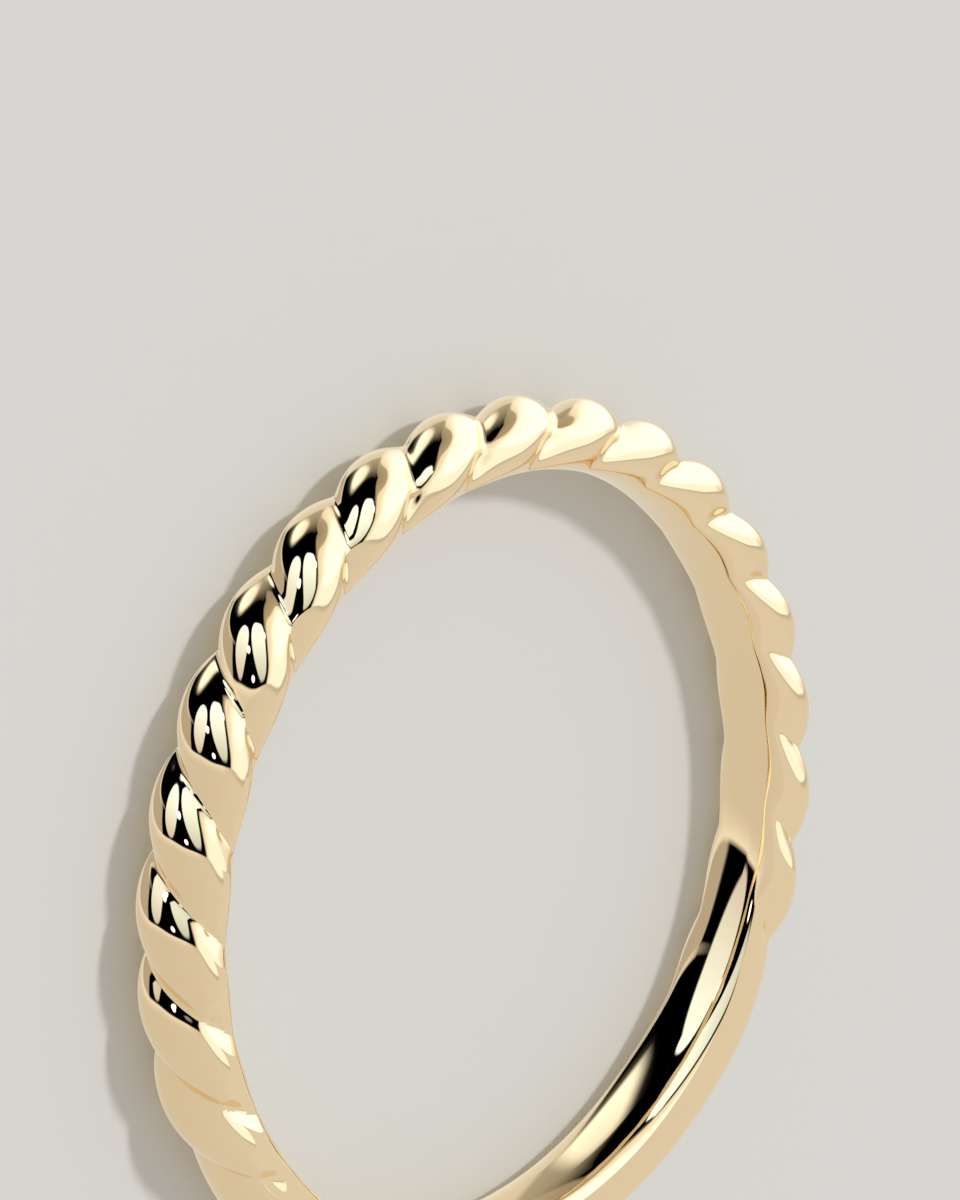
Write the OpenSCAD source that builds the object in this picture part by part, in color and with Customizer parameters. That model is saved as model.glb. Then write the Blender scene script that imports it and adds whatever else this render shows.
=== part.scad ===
// Half-rope wedding ring: one solid gold band lying on its side.
// Two thirds of the outside is carved into slanted rope lobes, the last third
// is a plain rounded band, and the finger hole is slightly rounded for comfort.
// Units are millimetres. The ring's axis is Z and the lowest point is Z = 0.

/* [Finger hole] */
// Diameter at the middle of the band, where the hole is tightest
hole_d = 17.4; // [14:0.1:22]
// Radius of the rounding across the inside of the band
comfort_r = 4; // [2:0.5:8]
// Half the width of the inner face, out to its edge line
edge_z = 0.33; // [0.3:0.01:0.36]
// Length of the straight land on the tightest line of the hole
land = 0.2; // [0.1:0.01:0.3]

/* [Band section] */
// Wall thickness at the top of a lobe
wall = 1.65; // [1.62:0.01:1.8]
// Radius of the rounded outside
crown_r = 1.32; // [1.25:0.01:1.4]
// How far the crown arc reaches from the middle, in degrees
crown_reach = 49; // [46:1:52]
// Radius of the shoulder between crown and flank
shoulder_r = 0.68; // [0.62:0.01:0.7]
// Radius of the flank between shoulder and edge line
flank_r = 1.7; // [1.4:0.1:2.2]

/* [Rope] */
// Number of lobes along the rope
lobes = 18; // [12:1:22]
// Angle taken by each lobe, in degrees
lobe_pitch = 13.333; // [12:0.001:15]
// Depth of the grooves on the outside
groove_depth = 0.38; // [0.2:0.01:0.5]
// How far a groove leans between the middle and the edge, in lobe pitches
groove_lean = 0.67; // [0.4:0.01:0.9]
// Extra lean gained near the edge line, in lobe pitches
edge_lean = 0.18; // [0:0.01:0.3]
// Roundness of the lobes, from 2 for cushions to 3 for flatter tops
lobe_power = 2; // [1.8:0.1:3]
// Angle over which the last groove fades into the plain band, in degrees
rope_fade = 17; // [8:1:24]

/* [Hidden] */

gold = [0.83, 0.65, 0.35];

// Finger hole
hole_r = hole_d / 2;
comfort_c = hole_r + sqrt(comfort_r * comfort_r - land * land / 4);
edge_r = comfort_c - sqrt(comfort_r * comfort_r - edge_z * edge_z);
cutter_facets = 180;
comfort_facets = 720;
cutter_over = 1;

// Section along the top of a lobe and along the floor of a groove
groove_crown_r = 1.26;
groove_reach = 34;
groove_corner_r = 0.16;
groove_flank_r = 1.8;
rim_sink = 0.01;
rim_out = 0.006;
rim = [edge_r + rim_out, edge_z - rim_sink];
crest = section(hole_r + wall, crown_r, crown_reach, shoulder_r, flank_r);
groove = section(hole_r + wall - groove_depth, groove_crown_r, groove_reach,
                 groove_corner_r, groove_flank_r);
half_width = crown_r * sin(crown_reach) + shoulder_r * (1 - sin(crown_reach));

// The plain band lies this share of the groove depth below the lobe tops
plain_drop = 0.08;

// Shares of the way to the rim between which the grooves fade out
fade_start = 0.5;
fade_end = 0.92;

// Skin that runs on inside the finger hole, where the hole cuts it away
lip_in = 0.4;
lip_down = 0.19;

// Mesh steps: stations along the rope, along the plain band and across it
lobe_steps = 8;
plain_turn = 360 / lobe_pitch - lobes;
plain_steps = 30;
cross_steps = 14;
rope_middle = 90;

// A section is a crown arc, a shoulder arc and a flank arc, each leaving the one
// before along its tangent, and it ends on the rim: [centre, crown radius, reach,
// shoulder radius, flank start, flank radius, crown length, shoulder length,
// flank length]
function section(top, r, reach, q, f) =
    let (c = top - r,
         m = f - q,
         d = rim - [c + (r - q) * cos(reach), (r - q) * sin(reach)],
         far = norm(d),
         start = turn(d) - acos((f * f - m * m - far * far) / (2 * m * far)),
         end = turn(d + m * [cos(start), sin(start)]))
    [c, r, reach, q, start, f, arc_length(r, reach), arc_length(q, start - reach),
     arc_length(f, end - start)];

function turn(d) = let (a = atan2(d[1], d[0])) a < 0 ? a + 360 : a;
function arc_length(r, a) = r * a * PI / 180;
function arc_angle(r, l) = l / r * 180 / PI;
function clamp(x, low, high) = min(max(x, low), high);

// Point [radius, height] at share v of the way from the middle to the rim
function walk(s, v) =
    let (l = abs(v) * (s[6] + s[7] + s[8]),
         a = arc_angle(s[1], min(l, s[6])),
         b = s[2] + arc_angle(s[3], clamp(l - s[6], 0, s[7])),
         f = s[4] + arc_angle(s[5], clamp(l - s[6] - s[7], 0, s[8])))
    [s[0] + s[1] * cos(a) + s[3] * (cos(b) - cos(s[2])) + s[5] * (cos(f) - cos(s[4])),
     sign(v) * (s[1] * sin(a) + s[3] * (sin(b) - sin(s[2])) + s[5] * (sin(f) - sin(s[4])))];

// Height of the surface between groove floor 0 and lobe top 1 at station w,
// counted in lobes from the left end of the rope
function lobe(t) = 1 - pow(abs(2 * t - 1), lobe_power);
function run_out(x) =
    (1 - plain_drop) * (1 - pow(1 - min(x * lobe_pitch / rope_fade, 1), lobe_power));
function swell(w) =
    w < 0 ? run_out(-w) :
    w > lobes ? run_out(w - lobes) :
    lobe(w - floor(w));

// Grooves lean forward on one side of the band and back on the other
function station_angle(w, v) =
    rope_middle
    + lobe_pitch * (lobes / 2 - w + groove_lean * v + edge_lean * pow(v, 3));

function place(p, a) = [p[0] * cos(a), p[0] * sin(a), p[1] + half_width];

// Grooves fade out before the rim, so that the edge line stays smooth
function fade(v) =
    let (x = clamp((abs(v) - fade_start) / (fade_end - fade_start), 0, 1))
    1 - x * x * (3 - 2 * x);

function skin(w, v) =
    let (low = walk(groove, v), high = walk(crest, v))
    place(high + (1 - swell(w)) * fade(v) * (low - high), station_angle(w, v));

// Stations once around: whole lobes first, then the plain band
stations = [
    for (i = [0 : lobes * lobe_steps - 1]) i / lobe_steps,
    for (i = [0 : plain_steps - 1]) lobes + i * plain_turn / plain_steps
];

// The far end of the plain band is counted back from the start of the rope
function counted(w) = w > lobes + plain_turn / 2 ? w - lobes - plain_turn : w;

// One closed loop of points across the skin and back inside the finger hole
function lip(side, w) =
    place([rim[0] - lip_in, side * (rim[1] - lip_down)], station_angle(w, side));
function loop(w) = [
    for (j = [-cross_steps : cross_steps]) skin(w, j / cross_steps),
    lip(1, w),
    lip(-1, w)
];

// The carved band before the finger hole is opened
module carved_band() {
    n = len(stations);
    m = 2 * cross_steps + 3;
    points = [for (w = stations) each loop(counted(w))];
    faces = [
        for (i = [0 : n - 1], j = [0 : m - 1])
        let (a = i * m + j,
             b = i * m + (j + 1) % m,
             c = ((i + 1) % n) * m + (j + 1) % m,
             d = ((i + 1) % n) * m + j)
        each [[a, b, c], [a, c, d]]
    ];
    polyhedron(points = points, faces = faces, convexity = 6);
}

// Everything inside the rounded inner face: the land's bore, and what lies
// between the axis and the rounding above and below it
module finger_hole() {
    cut = half_width + cutter_over;
    translate([0, 0, half_width]) {
        rotate_extrude($fn = cutter_facets)
        difference() {
            translate([0, -cut]) square([edge_r, 2 * cut]);
            translate([comfort_c, 0]) circle(r = comfort_r, $fn = comfort_facets);
        }
        translate([0, 0, -cut]) cylinder(r = hole_r, h = 2 * cut, $fn = cutter_facets);
    }
}

module ring() {
    color(gold)
    difference() {
        carved_band();
        finger_hole();
    }
}

ring();
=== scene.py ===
import math

import bpy
from mathutils import Matrix, Vector


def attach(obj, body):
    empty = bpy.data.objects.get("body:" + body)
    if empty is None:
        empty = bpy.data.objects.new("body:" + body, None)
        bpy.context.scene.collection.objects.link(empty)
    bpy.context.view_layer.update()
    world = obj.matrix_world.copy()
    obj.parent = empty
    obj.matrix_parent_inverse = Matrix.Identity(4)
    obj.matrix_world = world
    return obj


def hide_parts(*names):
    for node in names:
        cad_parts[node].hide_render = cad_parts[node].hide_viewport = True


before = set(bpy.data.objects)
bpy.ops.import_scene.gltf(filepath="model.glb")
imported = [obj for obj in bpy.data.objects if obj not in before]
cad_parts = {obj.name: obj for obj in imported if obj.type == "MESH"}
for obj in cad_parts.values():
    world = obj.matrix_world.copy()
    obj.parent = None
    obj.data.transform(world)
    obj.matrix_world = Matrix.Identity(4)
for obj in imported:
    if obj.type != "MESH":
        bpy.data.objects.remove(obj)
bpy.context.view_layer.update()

MM = 0.001
DEGREES = 180.0 / math.pi

# Sizes of the band, in millimetres and degrees, as in the ring's own drawing, but for
# a few thousandths off the wall and the shoulder where polishing has taken metal away
BAND = {
    "Hole Radius": 8.7,
    "Comfort Radius": 4.0,
    "Edge Height": 0.33,
    "Wall": 1.644,
    "Crown Radius": 1.32,
    "Crown Reach": 49.0,
    "Shoulder Radius": 0.678,
    "Flank Radius": 1.7,
    "Half Width": 1.16302,
}
# Sizes of the rope in millimetres and degrees. Leans and softness are counted in lobes,
# and the fades are shares of the way from the middle of the band to its edge.
ROPE = {
    "Lobes": 18.0,
    "Lobe Pitch": 13.3333333,
    "Groove Depth": 0.38,
    "Groove Crown Radius": 1.26,
    "Groove Reach": 34.0,
    "Groove Corner Radius": 0.16,
    "Groove Flank Radius": 1.8,
    "Groove Lean": 0.67,
    "Edge Lean": 0.18,
    "Lobe Power": 2.0,
    "Run Out": 17.0,
    "Plain Drop": 0.08,
    "Fade Start": 0.5,
    "Fade End": 0.92,
    "Crease Softness": 0.02,
}
# How finely the skin is divided round the ring, across its outside and across its inside
STEPS = {
    "Pitches Around": 27,
    "Steps Per Pitch": 24,
    "Steps Outside": 108,
    "Steps Inside": 32,
}
WELD_DISTANCE = 0.002 * MM
# Name of the value that tells the finish how deep in a groove a point lies
GROOVE_MARK = "groove"


class Wire:
    """A value that a node gives; plain arithmetic on it adds Math nodes."""

    def __init__(self, socket):
        self.socket = socket
        self.tree = socket.id_data

    def math(self, operation, *others, clamp=False):
        values = dict(enumerate((self, *others)))
        node = add_node(self.tree, "ShaderNodeMath", values, operation=operation, use_clamp=clamp)
        return Wire(node.outputs[0])

    def __add__(self, other):
        return self.math("ADD", other)

    __radd__ = __add__

    def __mul__(self, other):
        return self.math("MULTIPLY", other)

    __rmul__ = __mul__

    def __sub__(self, other):
        return self.math("SUBTRACT", other)

    def __rsub__(self, other):
        return self.math("MULTIPLY", -1.0).math("ADD", other)

    def __truediv__(self, other):
        return self.math("DIVIDE", other)

    def __rtruediv__(self, other):
        return self.math("POWER", -1.0) * other

    def __pow__(self, other):
        return self.math("POWER", other)

    def sin(self):
        return self.math("SINE")

    def cos(self):
        return self.math("COSINE")

    def sqrt(self):
        return self.math("SQRT")

    def size(self):
        return self.math("ABSOLUTE")

    def low(self, other):
        return self.math("MINIMUM", other)

    def high(self, other):
        return self.math("MAXIMUM", other)

    def as_share(self):
        """The value held between 0 and 1."""
        return self.math("ADD", 0.0, clamp=True)


def plug(slot, value):
    """Feeds a node's input from a wire, or sets it to a plain value."""
    if isinstance(value, Wire):
        slot.id_data.links.new(value.socket, slot)
    elif slot.type == "RGBA":
        slot.default_value = (*value, 1.0)
    else:
        slot.default_value = value


def add_node(tree, kind, inputs=None, **settings):
    """Adds a node with its settings, then fills its inputs, given by name or number."""
    node = tree.nodes.new(kind)
    for name, value in settings.items():
        setattr(node, name, value)
    for name, value in (inputs or {}).items():
        plug(node.inputs[name], value)
    return node


def group_inputs(tree, kinds):
    """Gives a node group an input for each name and kind, and hands them back as wires."""
    for name, kind in kinds.items():
        tree.interface.new_socket(name, in_out="INPUT", socket_type="NodeSocket" + kind)
    given = tree.nodes.new("NodeGroupInput")
    return {socket.name: Wire(socket) for socket in given.outputs if socket.name}


def group_outputs(tree, results):
    """Gives a node group an output for each name, kind and wire."""
    for name, (kind, _) in results.items():
        tree.interface.new_socket(name, in_out="OUTPUT", socket_type="NodeSocket" + kind)
    done = tree.nodes.new("NodeGroupOutput")
    for name, (_, value) in results.items():
        plug(done.inputs[name], value)


def between(first, second, share):
    return first + share * (second - first)


def smooth_step(x):
    return x * x * (3.0 - 2.0 * x)


def angle_of(y, x):
    """The angle of a point from the X direction, from 0 to a full turn."""
    turn = y.math("ARCTAN2", x)
    return turn + turn.math("LESS_THAN", 0.0) * (2.0 * math.pi)


def section(rim_r, rim_z, top, radius, reach, corner, flank_radius):
    """A crown arc, a shoulder arc and a flank arc that ends on the rim."""
    centre = top - radius
    across = rim_r - (centre + (radius - corner) * reach.cos())
    along = rim_z - (radius - corner) * reach.sin()
    far = (across * across + along * along).sqrt()
    step = flank_radius - corner
    meet = (flank_radius * flank_radius - step * step - far * far) / (2.0 * step * far)
    start = angle_of(along, across) - meet.math("ARCCOSINE")
    end = angle_of(along + step * start.sin(), across + step * start.cos())
    return {
        "centre": centre,
        "radius": radius,
        "reach": reach,
        "corner": corner,
        "start": start,
        "flank radius": flank_radius,
        "crown": radius * reach,
        "shoulder": corner * (start - reach),
        "flank": flank_radius * (end - start),
    }


def walk(arcs, share):
    """The radius and height at a share of the way from the middle to the rim."""
    crown, shoulder, flank = arcs["crown"], arcs["shoulder"], arcs["flank"]
    reach, start = arcs["reach"], arcs["start"]
    way = share.size() * (crown + shoulder + flank)
    on_crown = way.low(crown) / arcs["radius"]
    on_shoulder = reach + (way - crown).high(0.0).low(shoulder) / arcs["corner"]
    on_flank = start + (way - crown - shoulder).high(0.0) / arcs["flank radius"]
    r = (
        arcs["centre"]
        + arcs["radius"] * on_crown.cos()
        + arcs["corner"] * (on_shoulder.cos() - reach.cos())
        + arcs["flank radius"] * (on_flank.cos() - start.cos())
    )
    z = (
        arcs["radius"] * on_crown.sin()
        + arcs["corner"] * (on_shoulder.sin() - reach.sin())
        + arcs["flank radius"] * (on_flank.sin() - start.sin())
    )
    return r, z * share.math("SIGN")


def swell(size, station):
    """Height between groove floor 0 and lobe top 1, at a station counted in lobes."""
    softness = size["Crease Softness"]
    power = size["Lobe Power"]
    off = station - station.math("ROUND")
    off = (off * off + softness * softness).sqrt().low(0.5)
    lobe = 1.0 - (1.0 - 2.0 * off) ** power
    past = (station - size["Lobes"]).high(0.0 - station).high(0.0)
    past_soft = (past * past + softness * softness).sqrt()
    faded = (past_soft * size["Lobe Pitch"] / size["Run Out"]).low(1.0)
    plain = (1.0 - size["Plain Drop"]) * (1.0 - (1.0 - faded) ** power)
    return between(lobe, plain, past.math("GREATER_THAN", 0.0))


def fade(size, share):
    """How much of a groove is left at a share of the way to the rim."""
    x = (share.size() - size["Fade Start"]) / (size["Fade End"] - size["Fade Start"])
    return 1.0 - smooth_step(x.high(0.0).low(1.0))


def finger_hole(size, share):
    """The radius and height on the rounded inside, at a share of the way to the rim."""
    comfort = size["Comfort Radius"]
    angle = share * (size["Edge Height"] / comfort).math("ARCSINE")
    return size["Hole Radius"] + comfort - comfort * angle.cos(), comfort * angle.sin()


def rope_skin(size, turn, station, share):
    """The radius and height on the outside, and how far it sinks towards a groove floor."""
    rim = finger_hole(size, 1.0)[0], size["Edge Height"]
    top = size["Hole Radius"] + size["Wall"]
    crest = section(*rim, top, size["Crown Radius"], turn["Crown Reach"],
                    size["Shoulder Radius"], size["Flank Radius"])
    groove = section(*rim, top - size["Groove Depth"], size["Groove Crown Radius"],
                     turn["Groove Reach"], size["Groove Corner Radius"],
                     size["Groove Flank Radius"])
    high_r, high_z = walk(crest, share)
    low_r, low_z = walk(groove, share)
    sink = (1.0 - swell(size, station)) * fade(size, share)
    return between(high_r, low_r, sink), between(high_z, low_z, sink), sink


def through(geometry, kind, inputs=None, **settings):
    """Sends the geometry through one more node, which takes it as its first input."""
    values = {0: geometry, **(inputs or {})}
    return Wire(add_node(geometry.tree, kind, values, **settings).outputs[0])


def rope_band_tree():
    """Geometry nodes that bend a flat sheet into the whole ring, as one closed skin."""
    tree = bpy.data.node_groups.new("rope band", "GeometryNodeTree")
    size = group_inputs(tree, {
        **dict.fromkeys((*BAND, *ROPE), "Float"),
        **dict.fromkeys(STEPS, "Int"),
        "Gold": "Material",
    })
    turn = {name: size[name] * (math.pi / 180.0)
            for name in ("Crown Reach", "Groove Reach", "Lobe Pitch")}
    pitches = size["Pitches Around"]
    steps_across = size["Steps Outside"] + size["Steps Inside"]
    sheet = add_node(tree, "GeometryNodeMeshGrid", {
        "Size X": 1.0,
        "Size Y": 1.0,
        "Vertices X": pitches * size["Steps Per Pitch"] + 1.0,
        "Vertices Y": steps_across + 1.0,
    })

    # The sheet's X runs round the ring, and its Y once round the section: first the
    # outside from edge to edge, then back over the inside. Past the middle of the plain
    # band, stations are counted back from the start of the rope.
    place = add_node(tree, "GeometryNodeInputPosition")
    split = add_node(tree, "ShaderNodeSeparateXYZ", {0: Wire(place.outputs[0])})
    around = (Wire(split.outputs["X"]) + 0.5) * pitches
    half_plain = (pitches - size["Lobes"]) * 0.5
    station = around - around.math("GREATER_THAN", size["Lobes"] + half_plain) * pitches
    round_section = Wire(split.outputs["Y"]) + 0.5
    outside_end = size["Steps Outside"] / steps_across
    outside = (round_section / outside_end).low(1.0) * 2.0 - 1.0
    inside = ((round_section - outside_end) / (1.0 - outside_end)).high(0.0)
    is_inside = inside.math("GREATER_THAN", 0.0)
    share = between(outside, 1.0 - 2.0 * inside, is_inside)

    skin_r, skin_z, sink = rope_skin(size, turn, station, outside)
    inner_r, inner_z = finger_hole(size, share)
    r = between(skin_r, inner_r, is_inside) * MM
    z = (between(skin_z, inner_z, is_inside) + size["Half Width"]) * MM
    lean = size["Groove Lean"] * share + size["Edge Lean"] * share * share * share
    spin = turn["Lobe Pitch"] * (size["Lobes"] * 0.5 - around + lean) + math.pi / 2.0
    point = add_node(tree, "ShaderNodeCombineXYZ", {0: r * spin.cos(), 1: r * spin.sin(), 2: z})

    skin = through(Wire(sheet.outputs["Mesh"]), "GeometryNodeStoreNamedAttribute",
                   {"Name": "UVMap", "Value": Wire(sheet.outputs["UV Map"])},
                   data_type="FLOAT2", domain="CORNER")
    skin = through(skin, "GeometryNodeSetPosition", {"Position": Wire(point.outputs[0])})
    # Bent clockwise round the axis, the sheet has its back outside
    skin = through(skin, "GeometryNodeFlipFaces")
    skin = through(skin, "GeometryNodeStoreNamedAttribute",
                   {"Name": GROOVE_MARK, "Value": sink * (1.0 - is_inside)},
                   data_type="FLOAT", domain="POINT")
    skin = through(skin, "GeometryNodeMergeByDistance", {"Distance": WELD_DISTANCE})
    skin = through(skin, "GeometryNodeSetShadeSmooth")
    skin = through(skin, "GeometryNodeRealizeInstances")
    skin = through(skin, "GeometryNodeSetMaterial", {"Material": size["Gold"]})
    group_outputs(tree, {"Geometry": ("Geometry", skin)})
    return tree


def forge_ring(gold):
    """Runs the node tree once and keeps its result as a plain mesh."""
    tree = rope_band_tree()
    seed = bpy.data.objects.new("rope band seed", bpy.data.meshes.new("rope band seed"))
    bpy.context.collection.objects.link(seed)
    nodes = seed.modifiers.new("rope band", "NODES")
    nodes.node_group = tree
    values = {**BAND, **ROPE, **STEPS, "Gold": gold}
    for item in tree.interface.items_tree:
        if item.in_out == "INPUT":
            nodes[item.identifier] = values[item.name]
    seed.update_tag()
    bpy.context.view_layer.update()
    ready = seed.evaluated_get(bpy.context.evaluated_depsgraph_get())
    mesh = bpy.data.meshes.new_from_object(ready)
    bpy.data.objects.remove(seed)
    mesh.name = "half_rope_band"
    band = bpy.data.objects.new("half_rope_band", mesh)
    bpy.context.collection.objects.link(band)
    return band


def mix_colour(tree, share, first, second):
    node = add_node(tree, "ShaderNodeMix", data_type="RGBA")
    for number, value in ((0, share), (6, first), (7, second)):
        plug(node.inputs[number], value)
    return Wire(node.outputs[2])


POLISH = {
    "Hairlines Around": 60.0,
    "Hairlines Across": 900.0,
    "Haze Scale": 350.0,
    "Bright Roughness": 0.015,
    "Haze Roughness": 0.035,
    "Groove Roughness": 0.06,
}
# The haze noise is stretched by the first number and lowered by the second
HAZE_CONTRAST = 3.0
HAZE_DROP = 1.2
MICROMETRE = 0.001 * MM
HAIRLINE_DEPTH = 0.02 * MICROMETRE

# The last of these colours is painted shade, a deeper darker gold laid into the grooves
TONE = {
    "Bright Gold": (0.95, 0.776, 0.518),
    "Deep Gold": (0.94, 0.764, 0.502),
    "Painted Groove Shade": (0.91, 0.70, 0.41),
}
PATCH_SCALE = 260.0
# Share of the full groove depth at which the duller gold and its painted shade, a deeper darker gold,
# start
GROOVE_SHADE_AND_DULL_START = 0.55


def polish_marks():
    """What a polishing wheel leaves: hairlines round the band and a faint uneven haze."""
    group = bpy.data.node_groups.new("polish marks", "ShaderNodeTree")
    given = group_inputs(group, {
        "Along And Across": "Vector",
        "Place": "Vector",
        "Groove": "Float",
        **dict.fromkeys(POLISH, "Float"),
    })
    stretch = add_node(group, "ShaderNodeCombineXYZ",
                       {0: given["Hairlines Around"], 1: given["Hairlines Across"]})
    drawn = add_node(group, "ShaderNodeVectorMath",
                     {0: given["Along And Across"], 1: Wire(stretch.outputs[0])},
                     operation="MULTIPLY")
    hairline = add_node(group, "ShaderNodeTexNoise",
                        {"Vector": Wire(drawn.outputs[0]), "Scale": 1.0, "Detail": 2.0})
    cloud = add_node(group, "ShaderNodeTexNoise",
                     {"Vector": given["Place"], "Scale": given["Haze Scale"], "Detail": 3.0})
    haze = (Wire(cloud.outputs[0]) * HAZE_CONTRAST - HAZE_DROP).as_share()
    rough = between(given["Bright Roughness"], given["Haze Roughness"], haze)
    rough = between(rough, given["Groove Roughness"], given["Groove"])
    group_outputs(group, {
        "Roughness": ("Float", rough),
        "Height": ("Float", Wire(hairline.outputs[0])),
    })
    return group


def gold_tone():
    """Pale yellow gold, slightly uneven, with painted shade: a deeper, darker gold in the grooves."""
    group = bpy.data.node_groups.new("gold tone", "ShaderNodeTree")
    given = group_inputs(group, {
        "Place": "Vector",
        "Groove": "Float",
        "Patch Scale": "Float",
        **dict.fromkeys(TONE, "Color"),
    })
    patch = add_node(group, "ShaderNodeTexNoise",
                     {"Vector": given["Place"], "Scale": given["Patch Scale"], "Detail": 1.0})
    tone = mix_colour(group, Wire(patch.outputs[0]), given["Bright Gold"], given["Deep Gold"])
    # Painted shade: the grooves get a deeper, darker gold
    tone = mix_colour(group, given["Groove"], tone, given["Painted Groove Shade"])
    group_outputs(group, {"Colour": ("Color", tone)})
    return group


def new_material(name):
    material = bpy.data.materials.new(name)
    material.use_nodes = True
    material.node_tree.nodes.clear()
    return material


def finish_with(material, shader):
    add_node(material.node_tree, "ShaderNodeOutputMaterial", {"Surface": Wire(shader.outputs[0])})
    return material


def polished_gold():
    material = new_material("polished yellow gold")
    tree = material.node_tree
    where = add_node(tree, "ShaderNodeTexCoord")
    depth = add_node(tree, "ShaderNodeAttribute", attribute_name=GROOVE_MARK)
    groove = add_node(tree, "ShaderNodeMapRange",
                      {"Value": Wire(depth.outputs["Fac"]), "From Min": GROOVE_SHADE_AND_DULL_START},
                      interpolation_type="SMOOTHSTEP")
    both = {"Place": Wire(where.outputs["Object"]), "Groove": Wire(groove.outputs["Result"])}
    marks = add_node(tree, "ShaderNodeGroup",
                     {**both, **POLISH, "Along And Across": Wire(where.outputs["UV"])},
                     node_tree=polish_marks())
    tone = add_node(tree, "ShaderNodeGroup", {**both, **TONE, "Patch Scale": PATCH_SCALE},
                    node_tree=gold_tone())
    bump = add_node(tree, "ShaderNodeBump",
                    {"Height": Wire(marks.outputs["Height"]), "Distance": HAIRLINE_DEPTH})
    return finish_with(material, add_node(tree, "ShaderNodeBsdfPrincipled", {
        "Base Color": Wire(tone.outputs["Colour"]),
        "Metallic": 1.0,
        "Roughness": Wire(marks.outputs["Roughness"]),
        "Normal": Wire(bump.outputs["Normal"]),
    }))


def stage_object(name, corners, faces, material):
    """A floor or a card near the ring, which isn't part of it."""
    mesh = bpy.data.meshes.new(name)
    mesh.from_pydata(corners, [], faces)
    mesh.materials.append(material)
    thing = bpy.data.objects.new(name, mesh)
    bpy.context.collection.objects.link(thing)
    return thing


FLOOR_HALF = 0.6
FLOOR_COLOUR = (0.785, 0.777, 0.752)
FLOOR_ROUGHNESS = 0.9


def pale_floor():
    material = new_material("pale floor")
    finish_with(material, add_node(material.node_tree, "ShaderNodeBsdfPrincipled",
                                   {"Base Color": FLOOR_COLOUR, "Roughness": FLOOR_ROUGHNESS}))
    corners = [(x * FLOOR_HALF, y * FLOOR_HALF, 0.0) for x, y in ((-1, -1), (1, -1), (1, 1), (-1, 1))]
    floor = stage_object("floor", corners, [(0, 1, 2, 3)], material)
    floor.visible_glossy = False


# The key light comes from this way, seen from the ring, and lights only the floor
KEY_FROM = Vector((0.319, 0.423, 0.848))
KEY_STRENGTH = 1.08
KEY_SPREAD = 7.0


def key_light():
    data = bpy.data.lights.new("key light", "SUN")
    data.energy = KEY_STRENGTH
    data.angle = math.radians(KEY_SPREAD)
    light = bpy.data.objects.new("key light", data)
    light.rotation_euler = KEY_FROM.to_track_quat("Z", "Y").to_euler()
    light.visible_glossy = False
    bpy.context.collection.objects.link(light)


# Camera, found from the ring's outline and grooves in the photograph. The
# vectors are the picture's right and up, and the way from the ring to the lens.
RIGHT = Vector((0.69185744, -0.00997161, 0.72196527))
UP = Vector((0.22702722, 0.95219534, -0.20440810))
TOWARD = Vector((-0.68541369, 0.30532703, 0.66104726))
LENS_FROM_CENTRE = Vector((-137.885, 67.251, 132.961 + BAND["Half Width"])) * MM
SENSOR = 36.0
PICTURE_WIDTH = 960.0
FOCAL_PIXELS = 9068.4
NEAREST_SEEN = 0.01
FARTHEST_SEEN = 10.0


def set_camera():
    data = bpy.data.cameras.new("camera")
    data.sensor_fit = "HORIZONTAL"
    data.sensor_width = SENSOR
    data.lens = FOCAL_PIXELS / PICTURE_WIDTH * SENSOR
    data.clip_start = NEAREST_SEEN
    data.clip_end = FARTHEST_SEEN
    camera = bpy.data.objects.new("camera", data)
    turn = Matrix((RIGHT, UP, TOWARD)).transposed().to_4x4()
    camera.matrix_world = Matrix.Translation(LENS_FROM_CENTRE) @ turn
    bpy.context.collection.objects.link(camera)
    bpy.context.scene.camera = camera


# A curved beige card beside the plain band, seen only in the gold. Middle and height are
# millimetres to the picture's right, up and toward the lens from the ring's middle.
CARD_MIDDLE = (4.9, 0.0, -4.0)
CARD_RADIUS = 11.0
CARD_TURN = (20.0, 150.0)
CARD_HEIGHT = (-40.0, -1.0)
CARD_COLOUR = (0.78, 0.75, 0.70)
CARD_STEPS = 40


def beige_card():
    material = new_material("beige card")
    finish_with(material, add_node(material.node_tree, "ShaderNodeEmission", {"Color": CARD_COLOUR}))
    material.cycles.emission_sampling = "NONE"
    middle = Vector((0.0, 0.0, BAND["Half Width"]))
    corners = []
    for step in range(CARD_STEPS + 1):
        turn = math.radians(CARD_TURN[0] + (CARD_TURN[1] - CARD_TURN[0]) * step / CARD_STEPS)
        side = CARD_MIDDLE[0] + CARD_RADIUS * math.sin(turn)
        near = CARD_MIDDLE[2] + CARD_RADIUS * math.cos(turn)
        corners += [(middle + side * RIGHT + height * UP + near * TOWARD) * MM
                    for height in CARD_HEIGHT]
    faces = [(2 * i, 2 * i + 1, 2 * i + 3, 2 * i + 2) for i in range(CARD_STEPS)]
    card = stage_object("beige_card", corners, faces, material)
    card.visible_camera = card.visible_diffuse = card.visible_shadow = False


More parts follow.
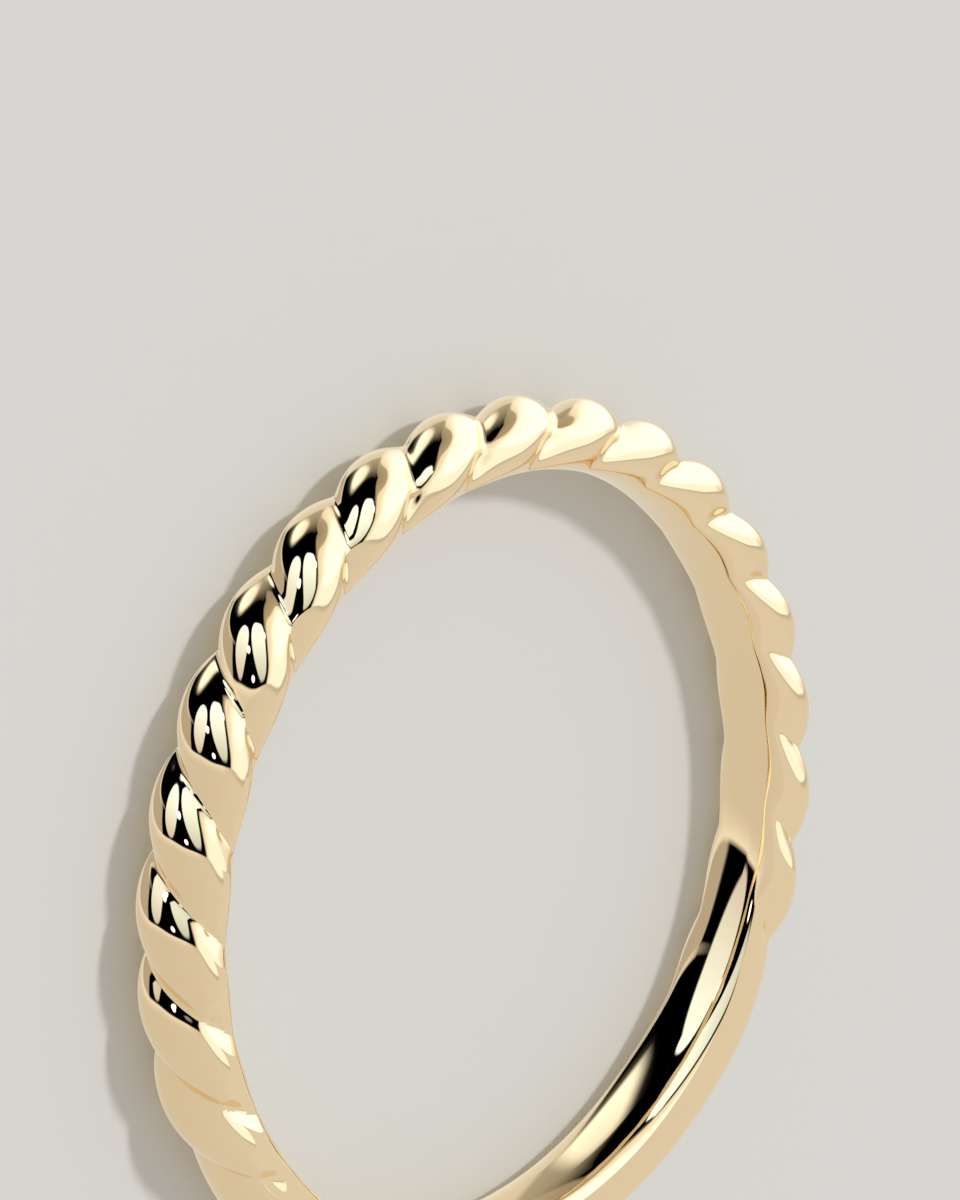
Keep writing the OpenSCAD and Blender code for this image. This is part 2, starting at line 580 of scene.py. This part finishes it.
# What the gold reflects, seen from the ring. Azimuth runs from the lens (0) to the
# picture's right, elevation from the picture's level, both in degrees. Each panel has a
# middle, half sizes, lean (degrees sideways per degree up), taper, squareness, softness
# and a colour at its lower and upper end. A later panel hides an earlier one.
PANEL_INPUTS = ("Middle Azimuth", "Middle Elevation", "Half Width", "Half Height",
                "Lean", "Taper", "Squareness", "Softness", "Low Colour", "High Colour")
PANELS = {
    "left wall": (-122, 10, 32, 13.5, 0, 0, 6, 1.5, (0.50, 0.455, 0.40), (0.52, 0.475, 0.42)),
    "left lip": (-124, 24, 30, 1.2, 0, 0, 4, 1.5, (0.80, 0.78, 0.72), (0.80, 0.78, 0.72)),
    "back glow": (-165, 62, 48, 20, 0, 0, 2, 26, (0.55, 0.52, 0.45), (0.20, 0.19, 0.15)),
    "back box": (-128, 57, 25, 13, 0, 0, 2.6, 9, (1.5, 1.55, 1.55), (1.0, 1.0, 0.95)),
    "back disc": (-172, 33, 24, 17, 0, 0, 3, 5, (0.9, 0.88, 0.8), (0.75, 0.72, 0.65)),
    "warm box": (-62, 26.5, 18, 25, 0.12, 0.25, 2.3, 1.5, (0.72, 0.69, 0.68), (1.25, 1.5, 1.7)),
    "cool box": (-6, 33, 20.5, 30.5, -0.3, 0.45, 3.2, 2, (0.66, 0.74, 0.75), (1.3, 1.6, 1.8)),
    "lamp one": (-38.5, 30, 5, 3.8, 0, 0, 2.5, 1.5, (3, 3, 3), (3, 3, 3)),
    "lamp two": (-24, 4.5, 4.2, 2.8, 0, 0, 2, 1.5, (3, 3, 3), (3, 3, 3)),
    "lamp three": (13, 49, 4, 4, 0, 0, 2, 3, (2, 2, 2), (2, 2, 2)),
    "right ceiling": (97, 66, 80, 19, 0, 0, 4, 3, (0.66, 0.59, 0.48), (0.34, 0.30, 0.24)),
    "right wall": (99, 21, 78, 46, 0, 0, 8, 3, (0.92, 0.88, 0.80), (1.0, 0.95, 0.85)),
    "right strip": (74, 9, 46, 27, 0, 0, 5, 8, (1.06, 1.2, 1.2), (1.06, 1.2, 1.25)),
    "right box": (104, 38, 64, 25, 0, 0, 2.6, 12, (1.35, 1.6, 1.7), (1.3, 1.5, 1.5)),
}
BEHIND_PANELS = (0.0, 0.0, 0.0)
# Where the pale ground ends: azimuth and elevation. The curve that holds them runs
# over a full turn, and over this span of elevation with the level in its middle.
GROUND_EDGE = ((-180, 24), (-150, 12), (-90, 0), (-60, -1), (-30, -3), (0, -3), (20, -4),
               (40, -8), (60, -13), (80, -14), (105, -6), (150, 12), (180, 24))
EDGE_SPAN = 90.0
FULL_TURN = 360.0
GROUND_LEFT = (0.70, 0.665, 0.61)
GROUND_RIGHT = (0.77, 0.74, 0.69)
GROUND_SOFTNESS = 1.6
# Just below its edge the ground is paler on the left and darker on the right
GROUND_GLOW = (1.0, 0.97, 0.92)
GLOW_HEIGHT = 10.0
GROUND_SHADE = (0.50, 0.47, 0.42)
SHADE_HEIGHT = 9.0
# What every ray but a mirrored one meets
SURROUND = (0.80, 0.79, 0.775)
SURROUND_STRENGTH = 0.72


def studio_panel():
    """One softly edged panel of light laid over what is behind it."""
    group = bpy.data.node_groups.new("studio panel", "ShaderNodeTree")
    given = group_inputs(group, {
        **dict.fromkeys(("Azimuth", "Elevation", *PANEL_INPUTS), "Float"),
        **dict.fromkeys(("Behind", "Low Colour", "High Colour"), "Color"),
    })
    up = given["Elevation"] - given["Middle Elevation"]
    share = up / given["Half Height"]
    side = given["Azimuth"] - given["Middle Azimuth"] - given["Lean"] * up
    side = side.math("WRAP", FULL_TURN / 2.0, -FULL_TURN / 2.0)
    width = given["Half Width"] * (1.0 + given["Taper"] * share.low(1.0).high(-1.0))
    power = given["Squareness"]
    reach = ((side / width).size() ** power + share.size() ** power) ** (1.0 / power)
    edge = (1.0 - reach) * width.low(given["Half Height"]) / given["Softness"]
    cover = smooth_step((edge + 0.5).as_share())
    height = (share * 0.5 + 0.5).as_share()
    colour = mix_colour(group, height, given["Low Colour"], given["High Colour"])
    group_outputs(group, {"Colour": ("Color", mix_colour(group, cover, given["Behind"], colour))})
    return group


def studio_walls(azimuth, elevation):
    """All the panels, laid over one another."""
    panel = studio_panel()
    colour = BEHIND_PANELS
    for name, values in PANELS.items():
        own = dict(zip(PANEL_INPUTS, values))
        seen = {"Azimuth": azimuth, "Elevation": elevation, "Behind": colour}
        node = add_node(azimuth.tree, "ShaderNodeGroup", {**own, **seen}, node_tree=panel, label=name)
        colour = Wire(node.outputs[0])
    return colour


def ground_edge(azimuth):
    """The elevation at which the ground ends, on a smooth curve through GROUND_EDGE."""
    curve = add_node(azimuth.tree, "ShaderNodeFloatCurve", {"Value": azimuth / FULL_TURN + 0.5})
    points = curve.mapping.curves[0].points
    places = [(turn / FULL_TURN + 0.5, rise / EDGE_SPAN + 0.5) for turn, rise in GROUND_EDGE]
    points[0].location, points[1].location = places[0], places[-1]
    for place in places[1:-1]:
        points.new(*place)
    curve.mapping.update()
    return (Wire(curve.outputs[0]) - 0.5) * EDGE_SPAN


def ground_colour(right, depth):
    """The ground's colour, from how far to the right it is and how far below its edge."""
    tree = right.tree
    to_right = right.high(0.0)
    glow = 1.0 - (depth / GLOW_HEIGHT).as_share()
    shade = 1.0 - (depth / SHADE_HEIGHT).as_share()
    ground = mix_colour(tree, right * 0.5 + 0.5, GROUND_LEFT, GROUND_RIGHT)
    ground = mix_colour(tree, glow * glow * (1.0 - to_right), ground, GROUND_GLOW)
    return mix_colour(tree, shade * to_right.sqrt(), ground, GROUND_SHADE)


def along_axis(direction, axis):
    node = add_node(direction.tree, "ShaderNodeVectorMath", {0: direction, 1: axis},
                    operation="DOT_PRODUCT")
    return Wire(node.outputs["Value"])


def studio():
    """Panels and ground for the gold to mirror, and a plain surround for other rays."""
    world = bpy.data.worlds.new("studio")
    bpy.context.scene.world = world
    world.use_nodes = True
    world.cycles.sampling_method = "NONE"
    tree = world.node_tree
    tree.nodes.clear()
    direction = Wire(add_node(tree, "ShaderNodeTexCoord").outputs["Generated"])
    right, up, toward = (along_axis(direction, axis) for axis in (RIGHT, UP, TOWARD))
    azimuth = right.math("ARCTAN2", toward) * DEGREES
    elevation = up.low(1.0).high(-1.0).math("ARCSINE") * DEGREES
    depth = ground_edge(azimuth) - elevation
    softness = GROUND_SOFTNESS * (1.0 + right.high(0.0))
    below = (depth / softness + 0.5).as_share()
    seen = mix_colour(tree, below, studio_walls(azimuth, elevation), ground_colour(right, depth))

    mirrored = add_node(tree, "ShaderNodeBackground", {"Color": seen})
    plain = add_node(tree, "ShaderNodeBackground",
                     {"Color": SURROUND, "Strength": SURROUND_STRENGTH})
    rays = add_node(tree, "ShaderNodeLightPath")
    choose = add_node(tree, "ShaderNodeMixShader", {
        0: Wire(rays.outputs["Is Glossy Ray"]),
        1: Wire(plain.outputs[0]),
        2: Wire(mirrored.outputs[0]),
    })
    add_node(tree, "ShaderNodeOutputWorld", {"Surface": Wire(choose.outputs[0])})


gold = polished_gold()
ring = forge_ring(gold)
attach(ring, "root")
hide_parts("ring")
pale_floor()
key_light()
beige_card()
set_camera()
studio()
bpy.context.scene.view_settings.view_transform = "Standard"
